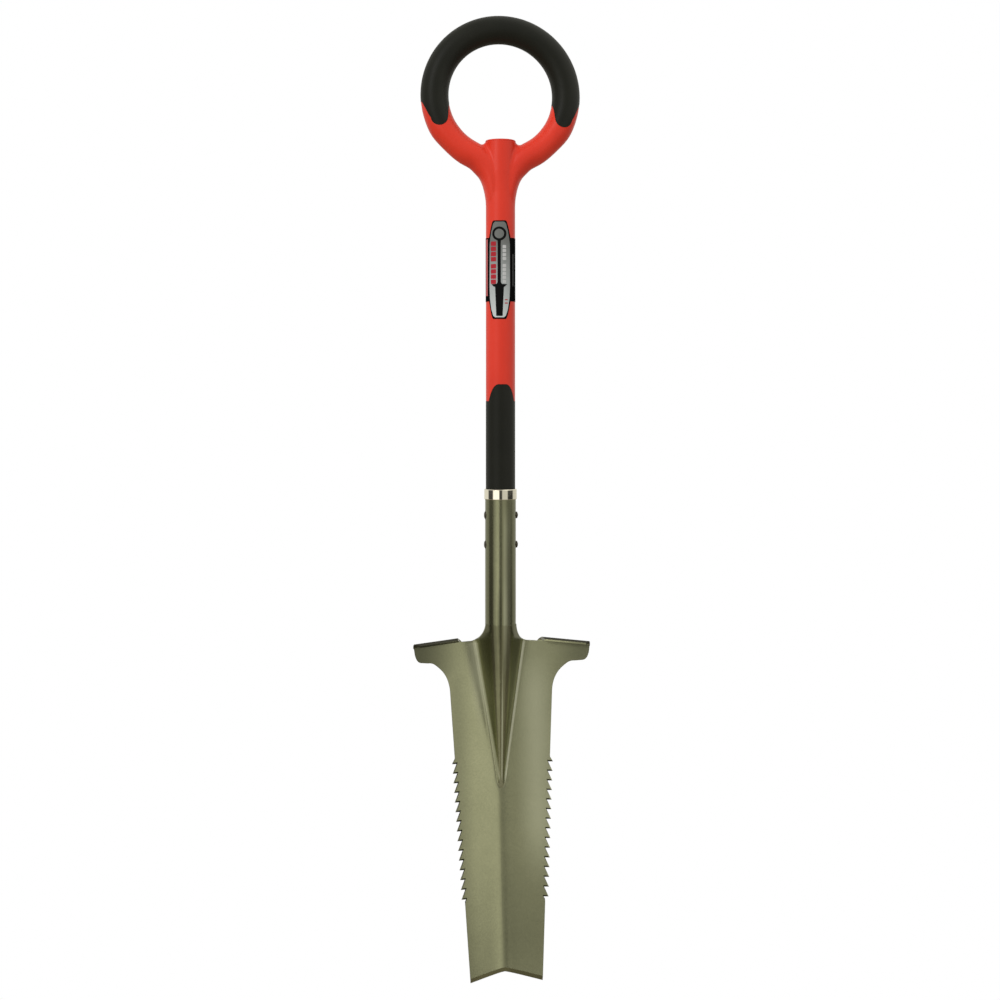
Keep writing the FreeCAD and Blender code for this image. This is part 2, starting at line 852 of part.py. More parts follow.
def right_outline():
    """Right half of the blade's outline, from the notch up to the tube."""
    waist = (edge_x(cell("waist_z")), cell("waist_z"))
    wing, low = cell("wing_x"), cell("wing_low_z")
    outer_z, inner_z, inner_x = cell("tread_outer_z"), cell("tread_inner_z"), cell("tread_inner_x")
    throat_z, throat_x, throat_in = cell("throat_z"), cell("throat_x"), cell("throat_in_x")
    tube_r, tube_z = cell("socket_r"), cell("throat_top_z")
    armpit = (77.2, 372.0)
    heel = (92.0, low)
    teeth = tooth_points()
    # the wing's lower corner starts and ends at these points
    under = (wing - 9.4, low + 1.2)
    beside = (wing - 1.6, low + 11.0)
    edges = [
        line(flat(0, cell("notch_z")), flat(edge_x(0), 0)),
        line(flat(edge_x(0), 0), teeth[-1]),
        line(teeth[0], flat(*waist)),
        curve(waist, (waist[0] + 1.0, waist[1] + 12), (armpit[0] - 7.6, armpit[1] - 6.8), armpit),
        curve(armpit, (armpit[0] + 5.4, armpit[1] + 4.8), (heel[0] - 7.0, low), heel),
        line(flat(*heel), flat(*under)),
        curve(under, (wing - 4.6, low + 1.8), (wing - 2.6, low + 7.0), beside),
        line(flat(*beside), flat(wing, outer_z - 3.0)),
        curve((wing, outer_z - 3.0), (wing, outer_z - 0.6), (wing - 1.0, outer_z), (wing - 3.0, outer_z)),
        line(flat(wing - 3.0, outer_z), flat(inner_x, inner_z)),
        curve((inner_x, inner_z), (inner_x - 3.4, inner_z), (throat_x + 3, throat_z), (throat_x, throat_z)),
        line(flat(throat_x, throat_z), flat(throat_in, throat_z)),
        curve((throat_in, throat_z), (26.0, throat_z + 1.2), (tube_r + 0.9, 414.0), (tube_r, tube_z)),
    ]
    edges += [line(a, b) for a, b in zip(teeth, teeth[1:])]
    if tube_z < cell("joint_z"):
        edges.append(line(flat(tube_r, tube_z), flat(tube_r, cell("joint_z"))))
    return edges


def blade_outline():
    """Front view of the whole blade, up to its joint with the tube."""
    right = right_outline()
    top = line(flat(-cell("socket_r"), cell("joint_z")), flat(cell("socket_r"), cell("joint_z")))
    return joined(right + mirrored(right) + [top])


def wing_frame(side):
    """The tread line of one wing, with the plate's own up and front directions."""
    x0, z0 = cell("tread_inner_x"), cell("tread_inner_z")
    x1, z1 = cell("wing_x"), cell("tread_outer_z")
    a = Vector(side * x0, fold_y(x0, z0), z0)
    b = Vector(side * x1, fold_y(x1, z1), z1)
    along = (b - a).normalize()
    lower = Vector(side * x1, fold_y(x1, z1 - 30), z1 - 30)
    front = along.cross(lower - a).normalize()
    if front.dot(FRONT) < 0:
        front = front * -1
    up = front.cross(along).normalize()
    if up.z < 0:
        up = up * -1
    return a, b, along, up, front


def lip_frame(side):
    """Directions of the turned lip: level and forward, and square to it."""
    _, _, along, up, front = wing_frame(side)
    forward = Vector(front.x, front.y, 0)
    forward = (forward - along * forward.dot(along)).normalize()
    square = forward.cross(along).normalize()
    if square.z < 0:
        square = square * -1
    return forward, square


def bend_height(side):
    """How far below the tread line the plate starts to bend into the lip."""
    _, _, _, up, front = wing_frame(side)
    forward, square = lip_frame(side)
    inner, outer = cell("lip_bend_r"), cell("lip_bend_r") + cell("plate")
    return (inner * front.dot(square) + outer) / up.dot(square)


def tread_lip(side):
    """Lip turned forward along the top of one wing: a bend and a flat, slanted at its inner end."""
    a, b, along, up, front = wing_frame(side)
    forward, square = lip_frame(side)
    t, inner, depth = cell("plate"), cell("lip_bend_r"), cell("lip_depth")
    outer = inner + t
    foot = a - up * bend_height(side)
    hub = foot + front * inner
    middle = (square - front).normalize()
    edges = [
        line(foot - up, foot - up - front * t),
        line(foot - up - front * t, foot - front * t),
        arc(foot - front * t, hub + middle * outer, hub + square * outer),
        line(hub + square * outer, hub + square * outer + forward * depth),
        line(hub + square * outer + forward * depth, hub + square * inner + forward * depth),
        line(hub + square * inner + forward * depth, hub + square * inner),
        arc(hub + square * inner, hub + middle * inner, foot),
        line(foot, foot - up),
    ]
    run_in = cell("tread_inner_x") - cell("throat_x")
    section = Part.Face(joined(edges)).translated(along * -run_in)
    lip = section.extrude(along * ((b - a).Length + run_in))
    rise = along * run_in + up * (cell("tread_inner_z") - cell("throat_z"))
    slant = forward * depth + along * cell("lip_inner_slant")
    across = slant.cross(rise).normalize()
    if across.dot(along) > 0:
        across = across * -1
    reach = [a + slant * m + rise * n for m, n in ((-1, -3), (3, -3), (3, 3), (-1, 3))]
    wedge = [line(p, q) for p, q in zip(reach, reach[1:] + reach[:1])]
    return lip.cut(Part.Face(Part.Wire(wedge)).extrude(across * 30))


def above_tread(side):
    """Block that clears the plate where the lip's bend replaces it."""
    a, _, along, up, front = wing_frame(side)
    start = a - along * 12 - up * bend_height(side) - front * 20
    base = [start, start + along * 96, start + along * 96 + up * 30, start + up * 30]
    edges = [line(p, q) for p, q in zip(base, base[1:] + base[:1])]
    block = Part.Face(Part.Wire(edges)).extrude(front * 45)
    keep_x = cell("throat_x")
    inner = Part.makeBox(2 * keep_x, 200, 100, Vector(-keep_x, -100, cell("tread_inner_z") - 50))
    return block.cut(inner)


def edge_grind():
    """Cutter that grinds a bevel along the digging edge; it follows the fold from side to side."""
    width, depth, tip, clear = cell("grind_width"), cell("grind_depth"), cell("tip_x"), 20.0
    half = [0.0, 2.0, 4.5, 8.0, 12.0, 18.0, 28.0, tip, tip + 12]
    sections = []
    for x in [-x for x in reversed(half[1:])] + half:
        low = cell("notch_z") * (1 - abs(x) / tip)
        high = low + width
        rim = Vector(x, fold_y(x, high) - 0.02, high)
        heel = Vector(x, fold_y(x, low) + depth, low)
        foot = rim + (heel - rim) * 3
        corners = [rim, foot, Vector(x, rim.y - clear, foot.z), Vector(x, rim.y - clear, high), rim]
        sections.append(Part.makePolygon(corners))
    return Part.makeLoft(sections, True, True)


def tooth_grinds():
    """Tapered cutters, one per gullet, that bevel both flanks of every tooth towards the front."""
    out, back, pitch = cell("tooth_out"), cell("tooth_in"), cell("tooth_pitch")
    under, flank, through = cell("tooth_bevel_under"), cell("tooth_bevel_flank"), cell("plate") * 1.12
    before, beyond, clear = 3.0, 0.6, 10.0
    cutters = []
    for i in range(int(cell("tooth_count"))):
        z = cell("tooth_first_z") - i * pitch
        x = edge_x(z)
        lean = (fold_y(x + 1, z) - fold_y(x - 1, z)) / 2
        rise = (fold_y(x, z + 1) - fold_y(x, z - 1)) / 2
        for side in (1, -1):
            wires = []
            for depth in (-before, through + beyond):
                share = 1 - depth / through
                up, inward = under * share, flank * share
                low_x = edge_x(z - pitch)
                corners = [
                    (x + clear, z + up),
                    (x - back - inward, z - 0.5 + up),
                    (low_x + out - inward, z - pitch),
                    (low_x + clear, z - pitch),
                ]
                points = []
                for px, pz in corners:
                    y = fold_y(x, z) + lean * (px - x) + rise * (pz - z) + depth
                    points.append(Vector(side * px, y, pz))
                points.append(points[0])
                wires.append(Part.makePolygon(points))
            cutters.append(Part.makeLoft(wires, True, True))
    return cutters


def build_blade():
    """Pressed, folded and toothed blade with turned treads and a ground edge."""
    outline = Part.Face(blade_outline()).translated(Vector(0, -120, 0)).extrude(Vector(0, 240, 0))
    plate = pressed_plate().common(outline)
    for side in (1, -1):
        plate = plate.cut(above_tread(side)).fuse(tread_lip(side))
    for cutter in [edge_grind()] + tooth_grinds():
        plate = plate.cut(cutter)
    plate = plate.removeSplitter()
    blade = doc.addObject("Part::Feature", "blade_pressing")
    blade.Shape = plate.Solids[0] if len(plate.Solids) == 1 else plate
    on_shaft(blade)
    doc.recompute()
    return keep(blade, "blade")


def build_socket_tube(blade):
    """Socket: a full tube down to the joint, then its back half as a tongue."""
    body = tube("socket_blank", "dims.socket_r", "dims.socket_bore_r", "dims.tongue_z", "dims.socket_top_z")
    drill_for_bolts(body)
    seats = []
    for side in (1, -1):
        for height in ("dims.bolt_top_z", "dims.bolt_low_z"):
            seat = doc.addObject("Part::Cylinder", "bolt_seat")
            seat.setExpression("Radius", "dims.seat_r")
            seat.Height = 10
            seat.Placement = Placement(Vector(), Rotation(Vector(0, 1, 0), 90 * side))
            on_shaft(seat)
            seat.setExpression(".Placement.Base.x", f"{side} * (dims.socket_r - dims.seat_depth)")
            seat.setExpression(".Placement.Base.z", height)
            seats.append(seat)
    seated = cut("socket_seated", body, fuse("bolt_seats", *seats))
    front = doc.addObject("Part::Box", "socket_front_half")
    front.Length, front.Width = 60, 30
    front.setExpression("Height", "dims.joint_z - dims.tongue_z + 10")
    front.setExpression(".Placement.Base.x", "-30")
    front.setExpression(".Placement.Base.y", "dims.shaft_y - 30")
    front.setExpression(".Placement.Base.z", "dims.tongue_z - 10")
    fitted = cut("socket_fitted", cut("socket_opened", seated, front), blade)
    socket = doc.addObject("Part::Feature", "socket_trimmed")
    socket.Shape = max(fitted.Shape.Solids, key=lambda solid: solid.Volume)
    return keep(socket, "socket_tube")


def build_socket_welds(blade, socket):
    """Weld beads along both sides of the tongue, in the corner behind the blade."""
    beads = []
    for side in (1, -1):
        bead = doc.addObject("Part::Cylinder", "bead")
        bead.setExpression("Radius", "dims.weld_r")
        bead.setExpression("Height", "dims.joint_z - dims.tongue_z - 18")
        bead.Placement = Placement(Vector(), Rotation(Vector(0, 1, 0), side * cell("weld_lean_deg")))
        bead.setExpression(".Placement.Base.x", f"{side} * (dims.socket_r - dims.weld_inset)")
        bead.setExpression(".Placement.Base.y", "dims.shaft_y + dims.weld_back")
        bead.setExpression(".Placement.Base.z", "dims.tongue_z + 4")
        beads.append(bead)
    beads = fuse("beads", *beads)
    return keep(cut("beads_fitted", cut("beads_off_blade", beads, blade), socket), "socket_welds")


# ---------------------------------------------------------------- assembly


def build_all():
    hoop = keep(ring_torus("hoop", "dims.hoop_r"), "ring_hoop")
    doc.recompute()
    window = front_prism("ring_grip_window", grip_outline())
    lower_window = front_prism("lower_grip_window", lower_grip_outline())
    build_ring_grip(window)
    build_lower_grip(lower_window)
    build_handle_frame(window, hoop, lower_window)
    build_core_tube(hoop)
    build_shaft_plug()
    build_top_cap()
    build_label()
    build_collar()
    for name, height in (("upper", "dims.bolt_top_z"), ("lower", "dims.bolt_low_z")):
        build_bolt(f"{name}_bolt", height)
        build_nut(f"{name}_nut", height)
    blade = build_blade()
    socket = build_socket_tube(blade)
    build_socket_welds(blade, socket)
    doc.recompute()


def check_and_export():
    """Stops on a failed feature or a bad shape, then writes one STEP file per piece."""
    for obj in doc.Objects:
        if {"Invalid", "Error"} & set(obj.State):
            raise ValueError(f"{obj.Label} failed: {obj.State}")
    for piece in pieces:
        if piece.Shape.isNull() or not piece.Shape.isValid():
            raise ValueError(f"{piece.Label} has no valid shape")
    os.makedirs(OUT, exist_ok=True)
    for name in os.listdir(OUT):
        os.remove(os.path.join(OUT, name))
    for piece in pieces:
        piece.Shape.exportStep(os.path.join(OUT, piece.Label + ".step"))
        print(piece.Label, len(piece.Shape.Solids), round(piece.Shape.Volume / 1000, 1), "cm3")


build_all()
check_and_export()
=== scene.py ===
"""Looks of the ring-handled drain spade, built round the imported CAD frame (metres, +Z up, front -Y)."""

import json
import math

import bmesh
import bpy
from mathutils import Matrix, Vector

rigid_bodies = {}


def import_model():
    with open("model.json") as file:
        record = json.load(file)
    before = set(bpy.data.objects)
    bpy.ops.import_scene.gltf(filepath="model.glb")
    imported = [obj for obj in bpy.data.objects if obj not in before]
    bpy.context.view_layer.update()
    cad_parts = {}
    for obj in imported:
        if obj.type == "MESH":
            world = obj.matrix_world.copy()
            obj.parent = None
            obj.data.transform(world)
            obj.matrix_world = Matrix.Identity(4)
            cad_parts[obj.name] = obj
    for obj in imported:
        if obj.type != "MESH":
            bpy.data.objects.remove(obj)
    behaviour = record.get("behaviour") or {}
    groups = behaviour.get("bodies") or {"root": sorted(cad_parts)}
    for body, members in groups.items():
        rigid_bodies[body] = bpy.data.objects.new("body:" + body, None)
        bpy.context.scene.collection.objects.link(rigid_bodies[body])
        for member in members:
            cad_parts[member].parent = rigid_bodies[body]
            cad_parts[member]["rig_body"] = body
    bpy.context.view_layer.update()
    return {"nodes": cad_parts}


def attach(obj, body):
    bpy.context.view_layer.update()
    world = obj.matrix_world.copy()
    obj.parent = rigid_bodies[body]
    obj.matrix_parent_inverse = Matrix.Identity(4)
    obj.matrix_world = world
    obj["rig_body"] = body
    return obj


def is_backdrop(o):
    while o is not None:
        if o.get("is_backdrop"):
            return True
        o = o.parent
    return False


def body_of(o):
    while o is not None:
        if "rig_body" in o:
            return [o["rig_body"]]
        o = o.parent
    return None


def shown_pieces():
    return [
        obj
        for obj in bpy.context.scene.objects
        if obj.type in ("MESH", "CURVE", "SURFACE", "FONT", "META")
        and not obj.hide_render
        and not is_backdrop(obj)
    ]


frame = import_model()

MM = 0.001
SHAFT_Y = 0.0212
SLEEVE_R = 0.01825

# ---------------------------------------------------------------- tones, in linear colour

DARKNESS = (0.0, 0.0, 0.0)
DAYLIGHT = (1.0, 1.0, 1.0)
COAT_DEEP = (0.315, 0.320, 0.198)
COAT_PALE = (0.365, 0.370, 0.232)
# pale tone of the painted highlights along the frog
PAINTED_HIGHLIGHT_TONE = (0.45, 0.45, 0.315)
# pale tone of the painted highlight on the tube's flank and the painted light on the right plate
PAINTED_SHEEN_TONE = (0.56, 0.57, 0.40)
# dark tone of the painted shade on the blade's rims and tread tops
PAINTED_RIM_SHADE_TONE = (0.026, 0.025, 0.014)
# dark tone of the painted shade on plates and wings
PAINTED_SHADE_TONE = (0.045, 0.046, 0.030)
FERRULE_DEEP = (0.80, 0.75, 0.62)
FERRULE_PALE = (0.90, 0.86, 0.74)
FASTENER_DEEP = (0.040, 0.034, 0.022)
FASTENER_PALE = (0.11, 0.095, 0.065)
RED_DEEP = (0.54, 0.024, 0.009)
RED_BRIGHT = (0.615, 0.033, 0.013)
GRIP_DEEP = (0.0065, 0.007, 0.0045)
GRIP_PALE = (0.009, 0.0095, 0.006)
NYLON_DEEP = (0.55, 0.54, 0.47)
NYLON_PALE = (0.62, 0.61, 0.55)

# ---------------------------------------------------------------- places on the steel, in metres

# the joint between tube and blade, and the painted dark streak of shade that runs over it
JOINT_Z = 0.4252
SHADE_STREAK_X = -0.0038
SHADE_STREAK_REACH = 0.080

# the frog: its lower end, the half width of its foot there and the growth of that with height
FROG_END = 0.240
FROG_FOOT = 0.0050
FROG_SPREAD = 0.158
FOOT_MIDDLE_X = 0.0011
CREST_X = 0.0006

# painted shade patches of the blade: (none, full) across, (none, full) upwards, strength
PAINTED_SHADE_PATCHES = {
    "low_right": ((-0.004, 0.012), (0.19, 0.02), 0.42),
    "left_edge": ((-0.030, -0.058), (0.40, 0.35), 0.38),
    "left_wing": ((-0.020, -0.105), (0.330, 0.372), 0.86),
    "right_wing": ((0.056, 0.100), (0.350, 0.388), 0.50),
}

# ---------------------------------------------------------------- node helpers


def node_adder(tree):
    """A function that adds a node to a tree; socket values link, plain values are set."""

    def add(kind, values=None, **settings):
        node = tree.nodes.new(kind)
        for key, value in settings.items():
            setattr(node, key, value)
        for key, value in (values or {}).items():
            if isinstance(value, bpy.types.NodeSocket):
                tree.links.new(value, node.inputs[key])
            else:
                node.inputs[key].default_value = value
        return node

    return add


def new_material(name):
    """A material with an empty node tree, its node adder and the place in the frame."""
    material = bpy.data.materials.new(name)
    material.use_nodes = True
    material.node_tree.nodes.clear()
    add = node_adder(material.node_tree)
    return material, add, add("ShaderNodeTexCoord").outputs["Object"]


def split(add, vector):
    """The X, Y and Z of a vector."""
    return add("ShaderNodeSeparateXYZ", {"Vector": vector}).outputs


def ramp(add, fac, stops):
    """A colour ramp from (position, colour) stops."""
    node = add("ShaderNodeValToRGB", {"Fac": fac})
    elements = node.color_ramp.elements
    while len(elements) < len(stops):
        elements.new(0.5)
    for element, (position, colour) in zip(elements, stops):
        element.position = position
        element.color = (*colour, 1.0)
    return node.outputs["Color"]


def grey(value):
    return (value, value, value)


def noise(add, vector, scale, detail=3.0, roughness=0.5):
    values = {"Vector": vector, "Scale": scale, "Detail": detail, "Roughness": roughness}
    return add("ShaderNodeTexNoise", values).outputs["Fac"]


def stretched(add, place, scale):
    """Coordinates squeezed or stretched along the axes."""
    return add("ShaderNodeMapping", {"Vector": place, "Scale": scale}).outputs["Vector"]


def between(add, fac, low, high):
    """A number that follows a 0-1 pattern from low to high."""
    return add("ShaderNodeMapRange", {"Value": fac, "To Min": low, "To Max": high}).outputs["Result"]


def fade(add, value, zero_at, one_at, shape="SMOOTHSTEP"):
    """A mask that grows from 0 to 1 between two values."""
    values = {"Value": value, "From Min": zero_at, "From Max": one_at}
    return add("ShaderNodeMapRange", values, interpolation_type=shape).outputs["Result"]


def maths(add, operation, *values):
    return add("ShaderNodeMath", dict(enumerate(values)), operation=operation).outputs[0]


def size_of(add, value):
    """A number without its sign."""
    return maths(add, "ABSOLUTE", value)


def off_from(add, value, centre):
    """Distance of a number from a centre."""
    return size_of(add, maths(add, "SUBTRACT", value, centre))


def most(add, *masks):
    """The strongest of several masks."""
    result = masks[0]
    for mask in masks[1:]:
        result = maths(add, "MAXIMUM", result, mask)
    return result


def product(add, *masks):
    """Several masks in one."""
    result = masks[0]
    for mask in masks[1:]:
        result = maths(add, "MULTIPLY", result, mask)
    return result


def mixed(add, fac, first, second, blend_type="MIX"):
    """Two colours, each a socket or a plain tone, mixed by a mask."""
    values = {"Fac": fac}
    for key, colour in (("Color1", first), ("Color2", second)):
        values[key] = (*colour, 1.0) if isinstance(colour, tuple) else colour
    return add("ShaderNodeMixRGB", values, blend_type=blend_type).outputs[0]


def finish(add, colour, rough, height, bump, metallic=0.0, edge=0.0005, specular=0.5):
    """Closes a material: softened edges, relief and the shader itself."""
    rounded = add("ShaderNodeBevel", {"Radius": edge}, samples=4).outputs["Normal"]
    values = {"Height": height, "Strength": bump, "Distance": 0.0004, "Normal": rounded}
    relief = add("ShaderNodeBump", values).outputs["Normal"]
    values = {
        "Base Color": colour,
        "Metallic": metallic,
        "Roughness": rough,
        "Normal": relief,
        "Specular IOR Level": specular,
    }
    shader = add("ShaderNodeBsdfPrincipled", values).outputs["BSDF"]
    add("ShaderNodeOutputMaterial", {"Surface": shader})


# ---------------------------------------------------------------- olive coat


def coat_tone(add, place):
    """Cloudy olive tone with a fine speckle; also the clouds and the orange-peel relief."""
    clouds = noise(add, place, 14.0, 5.0, 0.6)
    grain = noise(add, place, 420.0, 4.0, 0.75)
    peel = noise(add, place, 900.0, 2.0, 0.6)
    tone = ramp(add, clouds, [(0.3, COAT_DEEP), (0.7, COAT_PALE)])
    speckle = ramp(add, grain, [(0.3, grey(0.84)), (0.7, grey(1.0))])
    return mixed(add, 1.0, tone, speckle, "MULTIPLY"), clouds, peel


def coat_finish(add, colour, clouds, peel, metallic=1.0, specular=0.5):
    """Metallic enamel, a little rougher where the clouds are pale."""
    rough = between(add, clouds, 0.20, 0.25)
    finish(add, colour, rough, peel, 0.03, metallic=metallic, edge=0.0004, specular=specular)


def painted_shade_on_tube(add, side, height):
    """Painted shade: the coat is painted dark where the tube curves away, and in a streak over its joint.
    """
    turned_away = fade(add, add("ShaderNodeLayerWeight").outputs["Facing"], 0.0, 0.09)
    streak = fade(add, off_from(add, side, SHADE_STREAK_X), 0.0038, 0.0015)
    streak = product(add, streak, fade(add, off_from(add, height, JOINT_Z), SHADE_STREAK_REACH, 0.0))
    return most(add, product(add, turned_away, 0.42), product(add, streak, 0.36))


def painted_highlight_flank(add, side, height):
    """Painted highlight: the coat is painted paler on the tube's right flank, more so near the joint."""
    across = product(add, fade(add, side, -0.0005, 0.0035), fade(add, side, 0.0120, 0.0085))
    along = product(add, fade(add, height, 0.580, 0.540), fade(add, height, 0.34, 0.42))
    growth = between(add, fade(add, height, 0.50, 0.44), 0.50, 1.0)
    return product(add, across, along, growth)


def painted_tube_light(add, colour, side, height, where=1.0):
    """Painted highlight on the pale flank and painted shade on the dark turns of the tube's shape, laid
    over a colour.
    """
    pale = product(add, painted_highlight_flank(add, side, height), where)
    dark = product(add, painted_shade_on_tube(add, side, height), where)
    return mixed(add, dark, mixed(add, pale, colour, PAINTED_SHEEN_TONE), DARKNESS)


def socket_coat():
    """Olive coat of the socket."""
    material, add, place = new_material("socket_coat")
    tone, clouds, peel = coat_tone(add, place)
    spot = split(add, place)
    # painted highlight and painted shade on the tube
    coat_finish(add, painted_tube_light(add, tone, spot["X"], spot["Z"]), clouds, peel)
    return material


def beyond_foot(add, side, height):
    """Distance outwards from the foot of the frog's skirts, as the camera sees it."""
    foot = maths(add, "MULTIPLY_ADD", height, FROG_SPREAD, FROG_FOOT - FROG_SPREAD * FROG_END)
    return maths(add, "SUBTRACT", off_from(add, side, FOOT_MIDDLE_X), foot)


def painted_frog_highlights(add, side, height):
    """Painted highlights: pale lines at the feet of the frog's skirts and along its crest, a pale band
    outside its left foot, and its pale lower end.
    """
    beyond = beyond_foot(add, side, height)
    rightward = fade(add, side, -0.001, 0.001)
    from_end = fade(add, height, FROG_END - 0.018, FROG_END)
    along = product(add, from_end, fade(add, height, 0.404, 0.398))
    foot_line = fade(add, size_of(add, beyond), 0.0026, 0.0004)
    foot_line = product(add, foot_line, along, between(add, rightward, 0.60, 1.0))
    left_apron = product(add, fade(add, beyond, 0.0, 0.001), fade(add, beyond, 0.020, 0.004), along)
    left_apron = product(add, left_apron, fade(add, height, 0.27, 0.36))
    left_apron = product(add, left_apron, between(add, rightward, 0.60, 0.0))
    crest = fade(add, off_from(add, side, CREST_X), 0.0014, 0.0002)
    crest = product(add, crest, along, fade(add, height, 0.400, 0.300), 0.65)
    end = fade(add, off_from(add, height, FROG_END - 0.013), 0.010, 0.0)
    end = product(add, end, fade(add, size_of(add, side), 0.008, 0.0), 0.35)
    return most(add, foot_line, left_apron, crest, end)


def painted_shade_patch(add, side, height, patch):
    """One of the blade's patches of painted shade."""
    across, upwards, strength = PAINTED_SHADE_PATCHES[patch]
    return product(add, fade(add, side, *across), fade(add, height, *upwards), strength)


def painted_shade_places(add, side, height, outward):
    """Painted shade on plates and wings, kept off the ground digging edge."""
    above_grind = fade(add, outward["Z"], -0.20, -0.10)
    low_right = product(add, painted_shade_patch(add, side, height, "low_right"), above_grind)
    others = [painted_shade_patch(add, side, height, patch) for patch in ("left_edge", "left_wing", "right_wing")]
    return most(add, low_right, *others)


def painted_sheen_place(add, side, height):
    """Painted light: the coat is paler down the middle of the right plate."""
    across = fade(add, off_from(add, side, 0.044), 0.030, 0.0)
    along = product(add, fade(add, height, 0.09, 0.20), fade(add, height, 0.41, 0.33))
    return product(add, across, along, 0.68)


def painted_rim_shade(add, side, outward):
    """Painted shade on sheared rims that face down or sideways, and on the tops of the treads."""
    under = fade(add, outward["Z"], -0.50, -0.65)
    rim = fade(add, size_of(add, outward["X"]), 0.70, 0.85)
    rim = product(add, rim, fade(add, size_of(add, side), 0.036, 0.040))
    tread_top = fade(add, outward["Z"], 0.60, 0.75)
    tread_top = product(add, tread_top, fade(add, outward["Y"], 0.45, 0.25))
    return most(add, under, rim, tread_top)


def blade_coat():
    """Olive coat of the blade with painted light and shade: a painted sheen, patches of painted shade,
    painted highlights along the frog, and painted shade on its cut rims, which are less metallic and less
    shiny.
    """
    material, add, place = new_material("blade_coat")
    spot = split(add, place)
    side, height = spot["X"], spot["Z"]
    outward = split(add, add("ShaderNodeNewGeometry").outputs["True Normal"])
    colour, clouds, peel = coat_tone(add, place)
    # painted light down the right plate
    colour = mixed(add, painted_sheen_place(add, side, height), colour, PAINTED_SHEEN_TONE)
    # painted shade on plates and wings
    colour = mixed(add, painted_shade_places(add, side, height, outward), colour, PAINTED_SHADE_TONE)
    # the tube's painted highlight and shade, carried onto the frog's top
    on_frog = fade(add, beyond_foot(add, side, height), -0.002, -0.006)
    on_frog = product(add, on_frog, fade(add, height, 0.32, 0.40))
    colour = painted_tube_light(add, colour, side, height, on_frog)
    # painted shade on rims that face down or sideways and on the tread tops
    edges = painted_rim_shade(add, side, outward)
    colour = mixed(add, edges, colour, PAINTED_RIM_SHADE_TONE)
    # painted highlights along the frog; there and on the rims the coat is also less metallic
    painted_highlights = painted_frog_highlights(add, side, height)
    colour = mixed(add, painted_highlights, colour, PAINTED_HIGHLIGHT_TONE)
    metallic = between(add, most(add, painted_highlights, edges), 1.0, 0.1)
    coat_finish(add, colour, clouds, peel, metallic, between(add, edges, 0.5, 0.0))
    return material


def weld_coat():
    """The same coat over rippled weld metal."""
    material, add, place = new_material("weld_coat")
    values = {"Vector": place, "Scale": 90.0, "Distortion": 2.5, "Detail": 2.0}
    wave = add("ShaderNodeTexWave", values, bands_direction="Z").outputs["Fac"]
    colour = ramp(add, wave, [(0.0, COAT_DEEP), (1.0, COAT_PALE)])
    finish(add, colour, 0.35, wave, 0.9, metallic=0.85)
    return material


# ---------------------------------------------------------------- other materials


def ferrule_steel():
    """Bright turned steel with very fine rings."""
    material, add, place = new_material("ferrule_steel")
    rings = noise(add, stretched(add, place, (30.0, 30.0, 4000.0)), 1.0, 2.0, 0.5)
    colour = ramp(add, rings, [(0.3, FERRULE_DEEP), (0.7, FERRULE_PALE)])
    finish(add, colour, between(add, rings, 0.03, 0.06), rings, 0.001, metallic=1.0, edge=0.0002)
    return material


def fastener_steel():
    """Blackened steel of the bolts and nuts, rubbed at random."""
    material, add, place = new_material("fastener_steel")
    specks = noise(add, place, 600.0, 3.0, 0.7)
    colour = ramp(add, specks, [(0.35, FASTENER_DEEP), (0.75, FASTENER_PALE)])
    finish(add, colour, between(add, specks, 0.35, 0.5), specks, 0.2, metallic=0.6, edge=0.0003)
    return material


def red_resin():
    """Moulded red resin: faint flow clouds, satin skin."""
    material, add, place = new_material("red_resin")
    flow = noise(add, stretched(add, place, (1.0, 1.0, 0.4)), 18.0, 4.0, 0.55)
    skin = noise(add, place, 1400.0, 2.0, 0.5)
    colour = ramp(add, flow, [(0.3, RED_DEEP), (0.7, RED_BRIGHT)])
    finish(add, colour, between(add, flow, 0.30, 0.40), skin, 0.05, edge=0.0008, specular=0.30)
    return material


def soft_black():
    """Soft black grip with a fine moulded grain."""
    material, add, place = new_material("soft_black")
    grain = noise(add, place, 1800.0, 3.0, 0.65)
    clouds = noise(add, place, 22.0, 3.0, 0.5)
    colour = ramp(add, clouds, [(0.3, GRIP_DEEP), (0.7, GRIP_PALE)])
    finish(add, colour, between(add, grain, 0.40, 0.52), grain, 0.06, edge=0.0006, specular=0.22)
    return material


def plain_steel():
    """Drawn steel of the hidden tube and hoop."""
    material, add, place = new_material("plain_steel")
    drawn = noise(add, stretched(add, place, (900.0, 900.0, 12.0)), 1.0, 3.0, 0.6)
    colour = ramp(add, drawn, [(0.3, grey(0.34)), (0.7, grey(0.5))])
    finish(add, colour, between(add, drawn, 0.25, 0.4), drawn, 0.1, metallic=1.0)
    return material


def nylon():
    """Natural nylon of the plug."""
    material, add, place = new_material("nylon")
    clouds = noise(add, place, 60.0, 3.0, 0.5)
    colour = ramp(add, clouds, [(0.3, NYLON_DEEP), (0.7, NYLON_PALE)])
    finish(add, colour, 0.45, clouds, 0.05)
    return material


# heights of the label's lower and upper end, in metres
LABEL_SPAN = (0.807, 0.926)


def printed(name, low, high, rough=0.35, specular=0.1):
    """Printed vinyl: a tone that drifts along the shaft, with a faint press grain."""
    material, add, place = new_material(name)
    share = fade(add, split(add, place)["Z"], *LABEL_SPAN, "LINEAR")
    blotch = noise(add, place, 700.0, 2.0, 0.6)
    tone = ramp(add, share, [(0.0, low), (0.8, high)])
    veil = mixed(add, 0.12, tone, blotch, "OVERLAY")
    finish(add, veil, rough, blotch, 0.01, edge=0.0001, specular=specular)
    return material


def flat_print(name, tone):
    """Print or film so matt that it mirrors nothing."""
    return printed(name, tone, tone, rough=0.6, specular=0.0)


